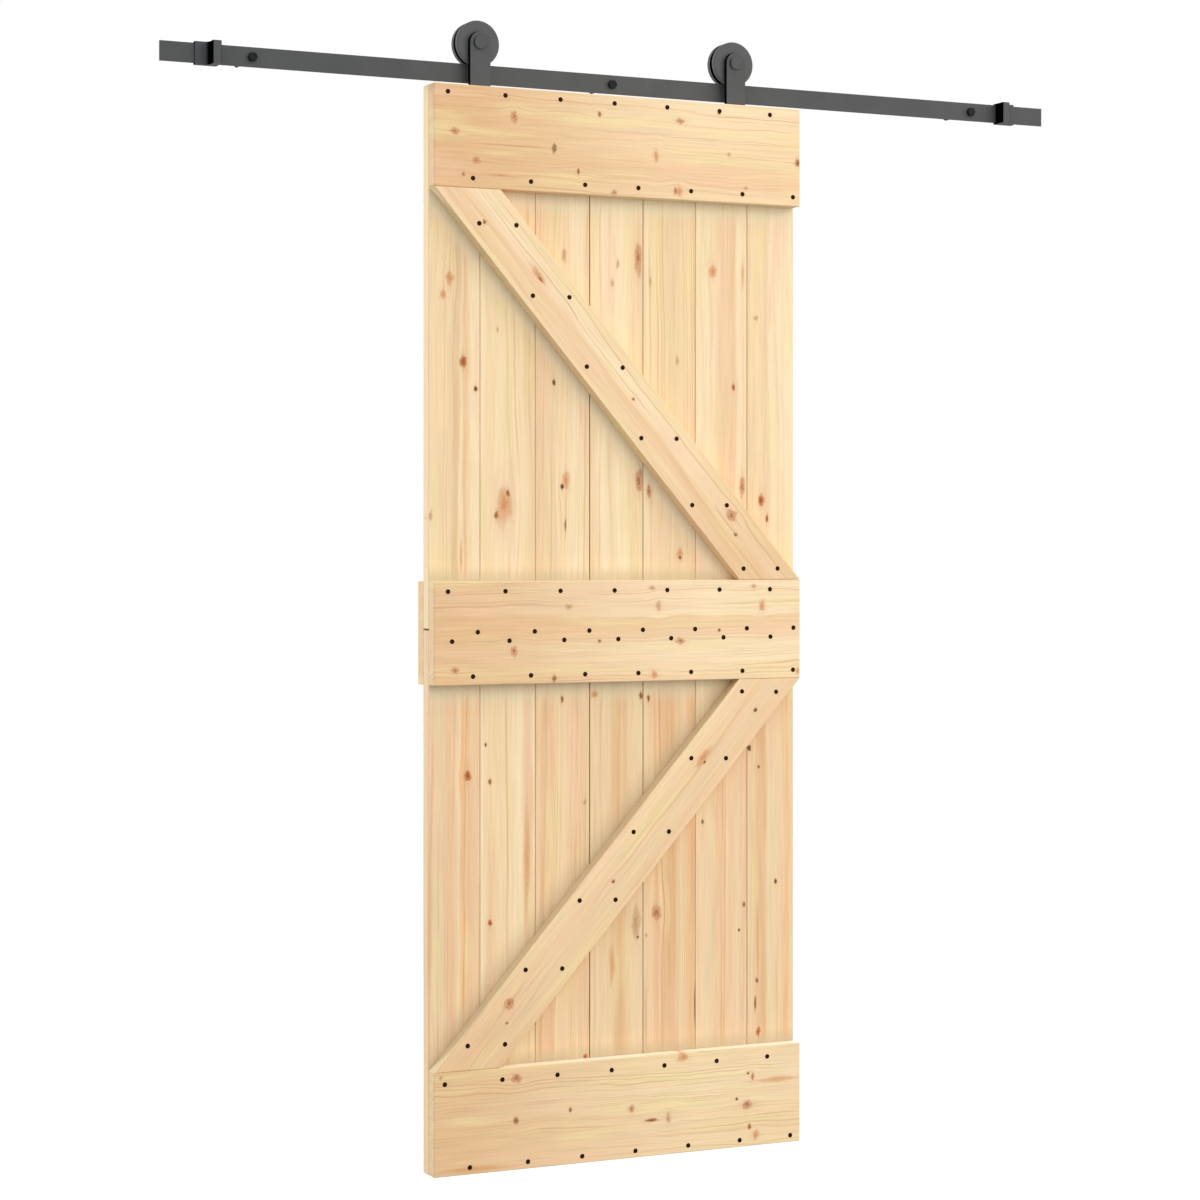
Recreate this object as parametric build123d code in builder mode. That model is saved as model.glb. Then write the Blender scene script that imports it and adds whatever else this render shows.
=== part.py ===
from build123d import *
import os

# A braced plank door that hangs from two grooved wheels on a flat wall track.
# Frame: X runs along the track, Y runs into the wall, Z is up. The origin is the centre
# of the middle spacer's wall end, so the wall is the plane Y = 0. Sizes are millimetres.

# Track, its wall spacers and its lag bolts
track_length = 1955.0
track_height = 37.5
track_thickness = 5.0
track_shift = 46.5
end_bolt_inset = 180.0
spacer_length = 36.0
spacer_diameter = 22.0
bolt_shank = 10.0
bolt_shank_in_wall = 3.0
bolt_thread = 9.5
bolt_embedment = 69.0
bolt_tip_length = 11.0
bolt_head_flats = 16.0
bolt_head_height = 6.4
bolt_hole_clearance = 0.5

# End stops: a sleeve round the track with a leg that stands forward
stop_left_inset = 111.0
stop_right_inset = 117.0
stop_sleeve_length = 44.0
stop_wall = 3.0
stop_leg_width = 17.0
stop_leg_reach = 30.0
stop_inner_radius = 9.0
stop_edge_radius = 2.0
stop_clearance = 0.2

# Grooved wheels
wheel_flange_diameter = 89.5
wheel_tread_diameter = 79.0
wheel_width = 30.0
wheel_tread_width = 8.0
wheel_groove_flare = 1.0
wheel_rim_bevel = 1.8
rolling_gap = 0.3

# Axles
axle_diameter = 12.0
axle_thread = 10.0
axle_running_clearance = 0.05
axle_side_play = 0.3
axle_head_diameter = 25.0
axle_head_height = 4.5
axle_head_edge = 1.2
axle_thread_spare = 2.5
collar_diameter = 20.0
nut_flats = 17.0
nut_height = 10.0

# Hanger straps, fixed to the back of the planks
strap_width = 45.0
strap_thickness = 5.0
strap_to_wheel = 3.0
strap_drop = 130.0
strap_corner = 6.0
strap_hole_diameter = 9.0
strap_hole_top = 35.0
strap_hole_spacing = 60.0
hanger_inset = 118.5

# Door leaf
door_width = 800.0
door_height = 2100.0
door_shift = -13.0
door_gap = 16.25
board_thickness = 28.0
plank_count = 7
edge_plank_trim = 10.2
plank_seam = 0.6
plank_butt_gap = 4.0
tongue_thickness = 8.0
tongue_length = 7.0
tongue_clearance = 0.3
rail_height = 200.0
top_rail_height = 198.0
middle_rail_center = 1043.0
brace_cut = 139.0
brace_joint_gap = 0.4
arris = 1.2

# Depths, from the wall forward
track_back = -spacer_length
track_front = track_back - track_thickness
track_middle = track_back - track_thickness / 2
wheel_front = track_middle - wheel_width / 2
wheel_back = track_middle + wheel_width / 2
strap_back = wheel_front - strap_to_wheel
strap_front = strap_back - strap_thickness
planks_back = strap_front
planks_front = planks_back - board_thickness
planks_middle = (planks_back + planks_front) / 2

# Heights and widths
axle_height = track_height / 2 + rolling_gap + wheel_tread_diameter / 2
door_top = -track_height / 2 - door_gap
door_bottom = door_top - door_height
door_middle = door_bottom + door_height / 2
door_left = door_shift - door_width / 2
door_right = door_shift + door_width / 2
middle_rail_height = door_bottom + middle_rail_center
track_left = track_shift - track_length / 2
track_right = track_shift + track_length / 2
bolt_places = {
    "left": track_left + end_bolt_inset,
    "middle": 0.0,
    "right": track_right - end_bolt_inset,
}
hanger_places = {"left": door_left + hanger_inset, "right": door_right - hanger_inset}
bolt_hole_diameter = bolt_shank + 2 * bolt_hole_clearance

os.makedirs("parts", exist_ok=True)


def keep(piece, name):
    """Label a finished piece and write its file."""
    piece.label = name
    export_step(piece, f"parts/{name}.step")


# Flat track with a hole for each lag bolt
with BuildPart() as track_rail:
    with BuildSketch(Plane.XZ.offset(-track_back)):
        with Locations((track_shift, 0)):
            Rectangle(track_length, track_height)
        with Locations(*[(x, 0) for x in bolt_places.values()]):
            Circle(bolt_hole_diameter / 2, mode=Mode.SUBTRACT)
    extrude(amount=track_thickness)
keep(track_rail.part, "track_rail")

for side, place in bolt_places.items():
    # Tube that holds the track off the wall
    with BuildPart() as spacer:
        with BuildSketch(Plane.XZ):
            with Locations((place, 0)):
                Circle(spacer_diameter / 2)
                Circle(bolt_hole_diameter / 2, mode=Mode.SUBTRACT)
        extrude(amount=spacer_length)
    keep(spacer.part, f"{side}_spacer")

    # Lag bolt: hexagon head on the track, shank in the spacer, thread and point past the wall
    with BuildPart() as lag_bolt:
        with BuildSketch(Plane.XZ.offset(-track_front)):
            with Locations((place, 0)):
                RegularPolygon(bolt_head_flats / 2, 6, major_radius=False)
        extrude(amount=bolt_head_height)
        with BuildSketch(Plane.XY):
            with BuildLine():
                Polyline(
                    (place, track_front),
                    (place + bolt_shank / 2, track_front),
                    (place + bolt_shank / 2, bolt_shank_in_wall),
                    (place + bolt_thread / 2, bolt_shank_in_wall),
                    (place + bolt_thread / 2, bolt_embedment - bolt_tip_length),
                    (place, bolt_embedment),
                    close=True,
                )
            make_face()
        revolve(axis=Axis((place, 0, 0), (0, 1, 0)))
    keep(lag_bolt.part, f"{side}_lag_bolt")

# End stops, mirror images of each other: the leg is at the end nearer the door
stop_places = {
    "left": (track_left + stop_left_inset, -1),
    "right": (track_right - stop_right_inset, 1),
}
for side, (inner_face, outward) in stop_places.items():
    sleeve_middle = inner_face + outward * stop_sleeve_length / 2
    leg_middle = inner_face + outward * stop_leg_width / 2
    sleeve_depth = track_thickness + 2 * stop_wall
    leg_depth = stop_leg_reach + track_thickness + stop_wall
    stop_height = track_height + 2 * stop_wall
    inner_corner = (inner_face + outward * stop_leg_width, track_front - stop_wall)
    with BuildPart() as end_stop:
        with BuildSketch(Plane.XY.offset(-stop_height / 2)) as stop_plan:
            with Locations((sleeve_middle, track_middle)):
                Rectangle(stop_sleeve_length, sleeve_depth)
            with Locations((leg_middle, track_back + stop_wall - leg_depth / 2)):
                Rectangle(stop_leg_width, leg_depth)
            fillet(stop_plan.vertices().sort_by_distance(inner_corner)[0], stop_inner_radius)
            fillet(stop_plan.vertices().group_by(Axis.Y)[0], stop_edge_radius)
        extrude(amount=stop_height)
        with Locations((sleeve_middle, track_middle, 0)):
            Box(
                2 * stop_sleeve_length,
                track_thickness + 2 * stop_clearance,
                track_height + 2 * stop_clearance,
                mode=Mode.SUBTRACT,
            )
    keep(end_stop.part, f"{side}_end_stop")

for side, place in hanger_places.items():
    axle_axis = Axis((place, track_middle, axle_height), (0, 1, 0))
    section = Plane(origin=(place, 0, axle_height), x_dir=(0, 1, 0), z_dir=(1, 0, 0))
    flange_radius = wheel_flange_diameter / 2
    tread_radius = wheel_tread_diameter / 2
    axle_radius = axle_diameter / 2
    bore_radius = axle_radius + axle_running_clearance
    groove_half = wheel_tread_width / 2
    groove_mouth = groove_half + wheel_groove_flare

    # Grooved wheel that straddles the track's top edge
    with BuildPart() as wheel:
        with BuildSketch(section):
            with BuildLine():
                Polyline(
                    (wheel_front, bore_radius),
                    (wheel_front, flange_radius - wheel_rim_bevel),
                    (wheel_front + wheel_rim_bevel, flange_radius),
                    (track_middle - groove_mouth, flange_radius),
                    (track_middle - groove_half, tread_radius),
                    (track_middle + groove_half, tread_radius),
                    (track_middle + groove_mouth, flange_radius),
                    (wheel_back, flange_radius),
                    (wheel_back, bore_radius),
                    close=True,
                )
            make_face()
        revolve(axis=axle_axis)
    keep(wheel.part, f"{side}_wheel")

    # Strap with a round top about the axle, flat against the back of the planks
    strap_bottom = door_top - strap_drop
    strap_reach = axle_height - strap_bottom
    with BuildPart() as strap:
        with BuildSketch(Plane.XZ.offset(-strap_back)) as strap_outline:
            with Locations((place, axle_height - strap_reach / 2)):
                Rectangle(strap_width, strap_reach)
            chamfer(strap_outline.vertices().group_by(Axis.Z)[0], strap_corner)
            with Locations((place, axle_height)):
                Circle(strap_width / 2)
                Circle(bore_radius, mode=Mode.SUBTRACT)
            for row in range(2):
                with Locations((place, door_top - strap_hole_top - row * strap_hole_spacing)):
                    Circle(strap_hole_diameter / 2, mode=Mode.SUBTRACT)
        extrude(amount=strap_thickness)
    keep(strap.part, f"{side}_hanger_strap")

    # Axle bolt: round head on the strap, bearing shank, and a thread behind the wheel
    shoulder = wheel_back + axle_side_play
    thread_end = shoulder + nut_height + axle_thread_spare
    with BuildPart() as axle_bolt:
        with BuildSketch(section):
            with BuildLine():
                Polyline(
                    (strap_front - axle_head_height, 0),
                    (strap_front - axle_head_height, axle_head_diameter / 2 - axle_head_edge),
                    (strap_front - axle_head_height + axle_head_edge, axle_head_diameter / 2),
                    (strap_front, axle_head_diameter / 2),
                    (strap_front, axle_radius),
                    (shoulder, axle_radius),
                    (shoulder, axle_thread / 2),
                    (thread_end, axle_thread / 2),
                    (thread_end, 0),
                    close=True,
                )
            make_face()
        revolve(axis=axle_axis)
    keep(axle_bolt.part, f"{side}_axle_bolt")

    # Collar that spaces the wheel off the strap
    with BuildPart() as collar:
        with BuildSketch(Plane.XZ.offset(-strap_back)):
            with Locations((place, axle_height)):
                Circle(collar_diameter / 2)
                Circle(bore_radius, mode=Mode.SUBTRACT)
        extrude(amount=-(strap_to_wheel - axle_side_play))
    keep(collar.part, f"{side}_axle_collar")

    # Nut against the axle's shoulder
    with BuildPart() as nut:
        with BuildSketch(Plane.XZ.offset(-shoulder)):
            with Locations((place, axle_height)):
                RegularPolygon(nut_flats / 2, 6, major_radius=False)
                Circle(axle_thread / 2 + axle_running_clearance, mode=Mode.SUBTRACT)
        extrude(amount=-nut_height)
    keep(nut.part, f"{side}_axle_nut")

# Tongue-and-groove planks in an upper and a lower row that meet at half height
plank_pitch = (door_width + 2 * edge_plank_trim) / plank_count
edge_plank = plank_pitch - edge_plank_trim
seams = [door_left + edge_plank + n * plank_pitch for n in range(plank_count - 1)]
plank_edges = [door_left] + seams + [door_right]
plank_rows = {
    "lower": (door_bottom, door_middle - plank_butt_gap / 2),
    "upper": (door_middle + plank_butt_gap / 2, door_top),
}
for row, (low, high) in plank_rows.items():
    for n in range(plank_count):
        left = plank_edges[n] + (plank_seam / 2 if n > 0 else 0)
        right = plank_edges[n + 1] - (plank_seam / 2 if n < plank_count - 1 else 0)
        with BuildPart() as plank:
            with BuildSketch(Plane.XY.offset(low)) as plank_section:
                with Locations(((left + right) / 2, planks_middle)):
                    Rectangle(right - left, board_thickness)
                chamfer(plank_section.vertices(), arris)
                if n < plank_count - 1:
                    with Locations((right + tongue_length / 2, planks_middle)):
                        Rectangle(tongue_length, tongue_thickness)
                if n > 0:
                    groove_depth = tongue_length - plank_seam + tongue_clearance
                    with Locations((left + groove_depth / 2, planks_middle)):
                        Rectangle(
                            groove_depth,
                            tongue_thickness + 2 * tongue_clearance,
                            mode=Mode.SUBTRACT,
                        )
            extrude(amount=high - low)
        keep(plank.part, f"{row}_plank_{n + 1}")

# Cross rails: three on the front of the planks, one behind the middle
rail_places = {
    "top_rail": (planks_front, door_top - top_rail_height / 2, top_rail_height),
    "middle_rail": (planks_front, middle_rail_height, rail_height),
    "bottom_rail": (planks_front, door_bottom + rail_height / 2, rail_height),
    "back_middle_rail": (planks_back + board_thickness, middle_rail_height, rail_height),
}
for name, (back_face, middle, height) in rail_places.items():
    with BuildPart() as rail:
        with BuildSketch(Plane.XZ.offset(-back_face)):
            with Locations((door_shift, middle)):
                Rectangle(door_width, height)
        extrude(amount=board_thickness)
        chamfer(rail.edges(), arris)
    keep(rail.part, name)

# Braces, cut level where they meet the rails: both start at the middle rail's right end
# and run out to the left ends of the top and bottom rails
brace_ends = {
    "upper_brace": (
        door_top - top_rail_height - brace_joint_gap,
        middle_rail_height + rail_height / 2 + brace_joint_gap,
    ),
    "lower_brace": (
        door_bottom + rail_height + brace_joint_gap,
        middle_rail_height - rail_height / 2 - brace_joint_gap,
    ),
}
for name, (left_end, right_end) in brace_ends.items():
    with BuildPart() as brace:
        with BuildSketch(Plane.XZ.offset(-planks_front)):
            with BuildLine():
                Polyline(
                    (door_left, left_end),
                    (door_left + brace_cut, left_end),
                    (door_right, right_end),
                    (door_right - brace_cut, right_end),
                    close=True,
                )
            make_face()
        extrude(amount=board_thickness)
        chamfer(brace.edges().filter_by(Axis.Y, reverse=True), arris)
    keep(brace.part, name)
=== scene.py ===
import functools
import math

import bmesh
import bpy
from mathutils import Matrix, Vector


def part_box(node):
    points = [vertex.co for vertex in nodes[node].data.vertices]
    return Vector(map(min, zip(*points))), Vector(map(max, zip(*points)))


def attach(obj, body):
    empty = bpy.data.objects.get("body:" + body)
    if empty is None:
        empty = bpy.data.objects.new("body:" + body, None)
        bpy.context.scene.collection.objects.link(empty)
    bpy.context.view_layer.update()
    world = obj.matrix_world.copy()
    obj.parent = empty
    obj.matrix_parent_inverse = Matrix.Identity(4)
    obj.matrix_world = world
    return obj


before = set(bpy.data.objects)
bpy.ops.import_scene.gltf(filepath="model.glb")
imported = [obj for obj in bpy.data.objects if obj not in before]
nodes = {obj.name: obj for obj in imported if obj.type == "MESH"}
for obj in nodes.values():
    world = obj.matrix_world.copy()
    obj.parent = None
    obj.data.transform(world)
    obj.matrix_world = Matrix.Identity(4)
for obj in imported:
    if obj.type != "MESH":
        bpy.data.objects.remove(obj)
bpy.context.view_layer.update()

# Sizes are metres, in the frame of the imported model: X along the track, Y into the wall, Z up.
# Places on the door's face are millimetres right of its left edge and above its bottom edge.
MM = 0.001
DOOR_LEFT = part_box("lower_plank_1")[0].x
DOOR_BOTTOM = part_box("lower_plank_1")[0].z
BATTEN_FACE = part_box("middle_rail")[0].y
STRAP_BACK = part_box("left_hanger_strap")[1].y
DOOR_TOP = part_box("upper_plank_1")[1].z

SIDES = ("left", "right")
BOLT_SIDES = ("left", "middle", "right")

# Nails: blackened wire nails with a low domed head
NAIL_RADIUS = 4.9 * MM
NAIL_CROWN = 4.5 * MM
NAIL_PROUD = 0.7 * MM
NAIL_SUNK = 0.5 * MM
NAIL_EDGE = 0.3 * MM
NAIL_SIDES = 18

# Flanged hexagon screws that hold each hanger strap to the planks
SCREW_HEAD_RADIUS = 7.5 * MM
SCREW_HEAD = 5.5 * MM
SCREW_FLANGE_RADIUS = 8.6 * MM
SCREW_FLANGE = 1.6 * MM
SCREW_EDGE = 0.5 * MM
FLANGE_SIDES = 28
HEXAGON = 6
SCREW_DROPS = (35.0 * MM, 95.0 * MM)

# The photograph's camera, for a picture of 1200 x 1200 pixels
PICTURE = 1200.0
FOCAL_PIXELS = 2803.0
HORIZON_ROW = 544.3
SENSOR = 36.0
CAMERA_PLACE = (-2.394, -5.1185, -0.9205)
CAMERA_TURN = math.radians(-25.0)

# Light: a sky that is brighter overhead, a key lamp at the right and a rim lamp behind the left edge.
# Each lamp has its power, tint, width and height, and its distance and direction from the aim.
SKY_TINT = "#E8F3FF"
SKY_LEVEL = 1.72
HORIZON_LEVEL = 0.48
LAMP_AIM = Vector((0.0, -0.1, -1.0))
LAMPS = {
    "key_lamp": (500.0, "#FCEFE1", (11.0, 6.0), 8.0, Vector((0.6, -0.715, 0.36))),
    "rim_lamp": (195.0, "#FFFFFF", (2.4, 2.4), 7.0, Vector((-0.81, 0.5, 0.3))),
}
FLOOR_GAP = 0.3
FLOOR_REACH = 60.0
FLOOR_ROUGHNESS = 0.9
FLOOR_GLOW = 0.6
FLOOR_FADE = (2.0, 9.0)
FLOOR_SEEN = "#F4F4F4"
FLOOR_BOUNCE = "#959595"

# Tones of planed, unfinished pine, from sapwood to heartwood
TONES = {
    "cream": "#F9DFB5",
    "straw": "#F4D6A7",
    "sand": "#EDCFA2",
    "blush": "#F0CA9D",
    "rose": "#EDC094",
    "honey": "#F0BD86",
    "amber": "#E2B684",
}
LATEWOOD = "#C8935A"
YELLOWED = "#F1DA9F"
FLUSHED = "#F4C9A4"

# How the tones lie: where in its noise a tone begins and ends, and how strongly it covers at each
WARM_STREAKS = (0.5, 0.75, 0.0, 0.4)
PALE_STREAKS = (0.28, 0.5, 0.35, 0.0)
YELLOWED_PATCHES = (0.5, 0.72, 0.0, 0.6)
FLUSHED_PATCHES = (0.28, 0.48, 0.5, 0.0)
FIBRE_SHADE = (0.25, 0.75, 0.92, 1.07)

# Lengths of the grain's features along, through and across a board
SLOW_WAVE = (320 * MM, 300 * MM, 120 * MM)
SMALL_WAVE = (70 * MM, 90 * MM, 26 * MM)
SMALL_WAVE_SHARE = 0.3
CLEAR_STRETCH = (280 * MM, 60 * MM, 20 * MM)
STREAK = (700 * MM, 40 * MM, 8 * MM)
FIBRE = (90 * MM, 4 * MM, 4 * MM)
PATCH = (260 * MM, 60 * MM, 34 * MM)

# Growth rings: how quickly good and lean years take turns and by how many rings they shift the count,
# where in a ring its latewood builds up and stops, how few years are dark, and where lines fade
YEAR_TURNS = 0.31
YEAR_SHIFT = 3.6
LATE_RISE = (0.55, 0.9)
LATE_STOP = (0.92, 1.0)
DARK_YEARS = 1.5
LINE_FADE = (0.38, 0.6, 0.12, 1.0)

# Planed surface: roughness of early and late wood, and how deep the grain is
PLANED_ROUGHNESS = (0.66, 0.52)
FIBRE_RELIEF = 0.5
GRAIN_DEPTH = 0.12 * MM
GRAIN_BUMP = 0.5
PLANED_SHINE = 0.3

# Dirt in the joints between planks: its colour, and how far from a joint it begins to fade and is gone
JOINT_DIRT = "#6B5236"
JOINT_FADE = (1.6 * MM / 3, 1.6 * MM)

# Painted light and shade on the planks below a rail, left of a brace, above a rail and right of a brace:
# its colour, how strongly it covers the wood, and its reach. Below a rail and left of the upper brace it
# is pale painted light that greys the shadow there; left of the lower brace, above a rail and right of a
# brace it is painted shade.
BELOW_RAIL_PAINTED_LIGHT = ("#EEE3C1", 0.75, 55.0 * MM)
BRACE_PAINTED_LIGHT_AND_SHADE = {"upper_brace": ("#FFECC7", 0.95, 36.0 * MM), "lower_brace": ("#CAB390", 0.55, 48.0 * MM)}
ABOVE_RAIL_PAINTED_SHADE = ("#BFAE8C", 0.7, 34.0 * MM)
RIGHT_OF_BRACE_PAINTED_SHADE = ("#BFAE8C", 0.25, 25.0 * MM)

# Painted shade on the lower brace's sloping upper side, and how far a plank's face turns from the front
# before its painted light and shade are gone
SLOPE_PAINTED_SHADE = ("#D3BB92", 0.7)
FRONT_TURN = (-0.9, -0.6)

# A board's sides are painted paler than its planed face, as painted light, and its upper edge paler still,
# as a painted highlight, where its surface turns to them
PAINTED_SHADING_TURN = (0.8, 0.97)
SIDE_PAINTED_LIGHT = 0.2
TOP_PAINTED_HIGHLIGHT = "#FFF4DC"
TOP_HIGHLIGHT_COVER = 0.8

# Every knot has a pale halo and dark specks in its wood. Its rim is ragged by this much, and its bow
# and tail reach this many of its half lengths and half widths.
KNOT_HALO = "#E9BC92"
KNOT_SPECK = 3.0 * MM
SPECK_TURN = (0.46, 0.66)
KNOT_RIM = (0.25, 0.75, 0.65, 1.35)
RIM_WAVES = 1.1
KNOT_VARIETY = 97.0
BOW_REACH = (3.4, 2.4)
BOW_PULL = -0.5
TAIL_REACH = (2.4, 0.16)

# Knots: the colour of the knot's own wood, of its dark specks, and how strongly it covers the board
KNOT_TONES = {
    "red": ("#CB7038", "#7E320E", 0.92),
    "rosy": ("#D9A273", "#9C5429", 0.85),
    "dark": ("#7A4A16", "#472605", 0.9),
    "brown": ("#AC6C30", "#6E3C10", 0.8),
    "pink": ("#E2A371", "#C07A44", 0.65),
    "olive": ("#8C6E30", "#5A4216", 0.8),
    "faint": ("#CFA274", "#A97A4C", 0.5),
    "resin": ("#E0A468", "#C98B4E", 0.45),
}

# Steel: dark and light tone of each finish, and the sizes and depths of its texture
MID_NOISE = (0.3, 0.7)
COAT_GREY = ("#494A4A", "#515252")
# The wheels' grey is painted lighter than the coat, as painted light that offsets the strap's shadow on
# them
WHEEL_PAINTED_LIGHT_GREY = ("#525252", "#5A5A5A")
COAT_CLOUD = 60 * MM
COAT_ROUGHNESS = (0.6, 0.7)
COAT_SHINE = 0.25
ORANGE_PEEL = 1.4 * MM
PEEL_DEPTH = 0.06 * MM
PEEL_BUMP = 0.35
BOLT_BLACK = ("#17191A", "#252728")
NAIL_BLACK = ("#20140B", "#2E1D10")
OXIDE_CLOUD = 5 * MM
OXIDE_ROUGHNESS = (0.42, 0.6)
OXIDE_DEPTH = 0.05 * MM
OXIDE_BUMP = 0.3

# Where shade is painted black on coated steel, matt and without reflection: as a piece's surface turns to
# the side, sharply or softly, along a strap's left arris, and in a wheel's groove up to a lip at its rim
PAINTED_SHADE_BLACK = "#080808"
SIDE_SHADE_TURN = (0.72, 0.9)
SOFT_SIDE_SHADE_TURN = (0.2, 0.75)
ARRIS_REACH = 2.8 * MM
GROOVE_HALF_WIDTH = 5.2 * MM
GROOVE_LIP = 0.5 * MM

# Each board's strips of tone: share of the way across, tone. Planks go left to right, rails and
# braces bottom to top.
PLANK_BANDS = {
    "upper_plank_1": ((0.0, "straw"), (0.25, "straw"), (0.45, "sand"), (0.56, "cream"), (0.65, "rose"),
                      (0.71, "straw"), (0.78, "cream"), (1.0, "cream")),
    "upper_plank_2": ((0.0, "cream"), (0.12, "straw"), (0.5, "cream"), (0.8, "straw"), (0.9, "sand"),
                      (1.0, "cream")),
    "upper_plank_3": ((0.0, "blush"), (0.3, "sand"), (0.42, "straw"), (0.7, "cream"), (1.0, "straw")),
    "upper_plank_4": ((0.0, "straw"), (0.25, "cream"), (0.6, "cream"), (0.85, "straw"), (1.0, "blush")),
    "upper_plank_5": ((0.0, "cream"), (0.2, "straw"), (0.55, "sand"), (0.75, "straw"), (1.0, "blush")),
    "upper_plank_6": ((0.0, "cream"), (0.35, "cream"), (0.5, "blush"), (0.72, "blush"), (0.78, "cream"),
                      (1.0, "straw")),
    "upper_plank_7": ((0.0, "sand"), (0.2, "straw"), (0.42, "sand"), (0.5, "cream"), (1.0, "cream")),
    "lower_plank_1": ((0.0, "blush"), (0.2, "sand"), (0.45, "rose"), (0.56, "straw"), (0.62, "honey"),
                      (0.74, "rose"), (0.82, "blush"), (1.0, "rose")),
    "lower_plank_2": ((0.0, "cream"), (0.15, "straw"), (0.4, "straw"), (0.7, "cream"), (0.82, "blush"),
                      (0.9, "cream"), (1.0, "cream")),
    "lower_plank_3": ((0.0, "blush"), (0.3, "rose"), (0.36, "straw"), (0.7, "blush"), (1.0, "blush")),
    "lower_plank_4": ((0.0, "sand"), (0.3, "sand"), (0.5, "amber"), (0.8, "sand"), (1.0, "sand")),
    "lower_plank_5": ((0.0, "sand"), (0.2, "rose"), (0.5, "amber"), (0.75, "sand"), (0.84, "honey"),
                      (0.9, "amber"), (1.0, "sand")),
    "lower_plank_6": ((0.0, "straw"), (0.3, "sand"), (0.4, "rose"), (0.65, "blush"), (0.75, "sand"),
                      (1.0, "rose")),
    "lower_plank_7": ((0.0, "sand"), (0.35, "amber"), (0.45, "sand"), (0.7, "sand"), (0.85, "honey"),
                      (0.93, "sand"), (1.0, "sand")),
}
RAIL_BANDS = {
    "top_rail": ((0.0, "straw"), (0.3, "blush"), (0.5, "straw"), (1.0, "cream")),
    "middle_rail": ((0.0, "straw"), (0.3, "cream"), (0.58, "blush"), (0.64, "blush"), (0.67, "cream"),
                    (1.0, "cream")),
    "bottom_rail": ((0.0, "straw"), (0.4, "straw"), (0.6, "cream"), (1.0, "straw")),
    "back_middle_rail": ((0.0, "straw"), (0.5, "cream"), (1.0, "blush")),
    "upper_brace": ((0.0, "straw"), (0.4, "blush"), (0.6, "cream"), (1.0, "straw")),
    "lower_brace": ((0.0, "blush"), (0.4, "sand"), (0.6, "blush"), (1.0, "straw")),
}

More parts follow.
